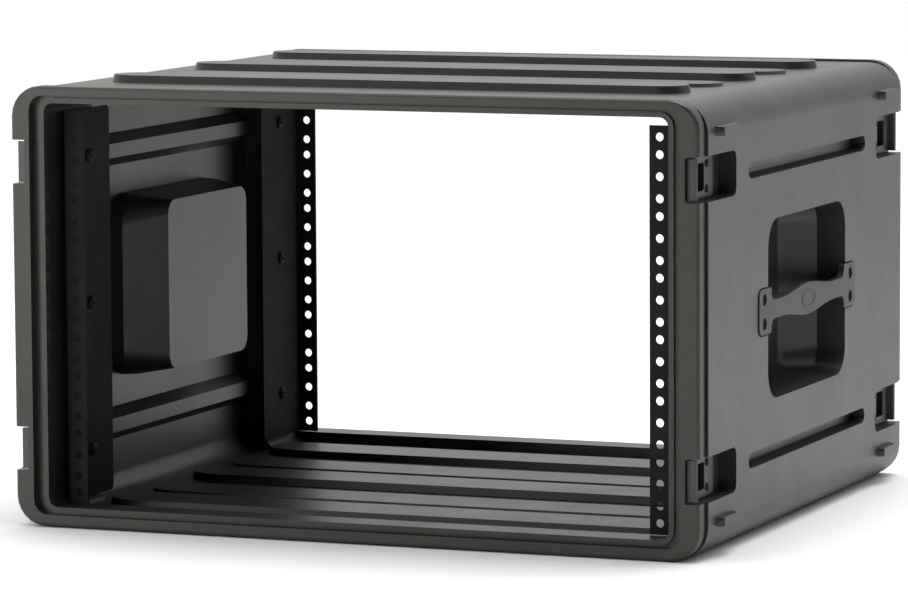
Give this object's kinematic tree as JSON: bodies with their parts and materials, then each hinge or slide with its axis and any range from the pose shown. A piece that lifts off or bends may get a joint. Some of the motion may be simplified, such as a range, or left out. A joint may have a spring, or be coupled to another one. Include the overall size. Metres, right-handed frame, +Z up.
{
  "type": "equipment rack case",
  "caption": "Roto-moulded rack case for audio equipment, open at both ends, with steel rack rails, recessed carry handles, latch seats and stacking ribs.",
  "frame": {"origin": "middle of the underside, on the surface the case stands on", "axes": "+X to the right, across the case; +Y from the front end to the rear end; +Z up"},
  "size_m": [0.558, 0.49, 0.3355],
  "materials": {
    "shell_plastic": "pebbled roto-moulded polyethylene",
    "rail_steel": "black powder coat",
    "grip_rubber": "matt moulded rubber",
    "keeper_steel": "dark grey paint",
    "screw_steel": "black oxide"
  },
  "bodies": {
    "root": {"moulded_shell": "shell_plastic", "front_rail_left": "rail_steel", "rear_rail_left": "rail_steel", "front_rail_right": "rail_steel", "rear_rail_right": "rail_steel", "rail_screw_front_left_1": "screw_steel", "rail_screw_front_left_2": "screw_steel", "rail_screw_front_left_3": "screw_steel", "latch_keeper_lower_front_left": "keeper_steel", "keeper_rivet_lower_front_left_1": "screw_steel", "keeper_rivet_lower_front_left_2": "screw_steel", "latch_keeper_upper_front_left": "keeper_steel", "keeper_rivet_upper_front_left_1": "screw_steel", "keeper_rivet_upper_front_left_2": "screw_steel", "rail_screw_rear_left_1": "screw_steel", "rail_screw_rear_left_2": "screw_steel", "rail_screw_rear_left_3": "screw_steel", "latch_keeper_lower_rear_left": "keeper_steel", "keeper_rivet_lower_rear_left_1": "screw_steel", "keeper_rivet_lower_rear_left_2": "screw_steel", "latch_keeper_upper_rear_left": "keeper_steel", "keeper_rivet_upper_rear_left_1": "screw_steel", "keeper_rivet_upper_rear_left_2": "screw_steel", "carry_handle_left": "grip_rubber", "handle_screw_left_front_lower": "screw_steel", "handle_screw_left_front_upper": "screw_steel", "handle_screw_left_rear_lower": "screw_steel", "handle_screw_left_rear_upper": "screw_steel", "rail_screw_front_right_1": "screw_steel", "rail_screw_front_right_2": "screw_steel", "rail_screw_front_right_3": "screw_steel", "latch_keeper_lower_front_right": "keeper_steel", "keeper_rivet_lower_front_right_1": "screw_steel", "keeper_rivet_lower_front_right_2": "screw_steel", "latch_keeper_upper_front_right": "keeper_steel", "keeper_rivet_upper_front_right_1": "screw_steel", "keeper_rivet_upper_front_right_2": "screw_steel", "rail_screw_rear_right_1": "screw_steel", "rail_screw_rear_right_2": "screw_steel", "rail_screw_rear_right_3": "screw_steel", "latch_keeper_lower_rear_right": "keeper_steel", "keeper_rivet_lower_rear_right_1": "screw_steel", "keeper_rivet_lower_rear_right_2": "screw_steel", "latch_keeper_upper_rear_right": "keeper_steel", "keeper_rivet_upper_rear_right_1": "screw_steel", "keeper_rivet_upper_rear_right_2": "screw_steel", "carry_handle_right": "grip_rubber", "handle_screw_right_front_lower": "screw_steel", "handle_screw_right_front_upper": "screw_steel", "handle_screw_right_rear_lower": "screw_steel", "handle_screw_right_rear_upper": "screw_steel"}
  },
  "joints": []
}
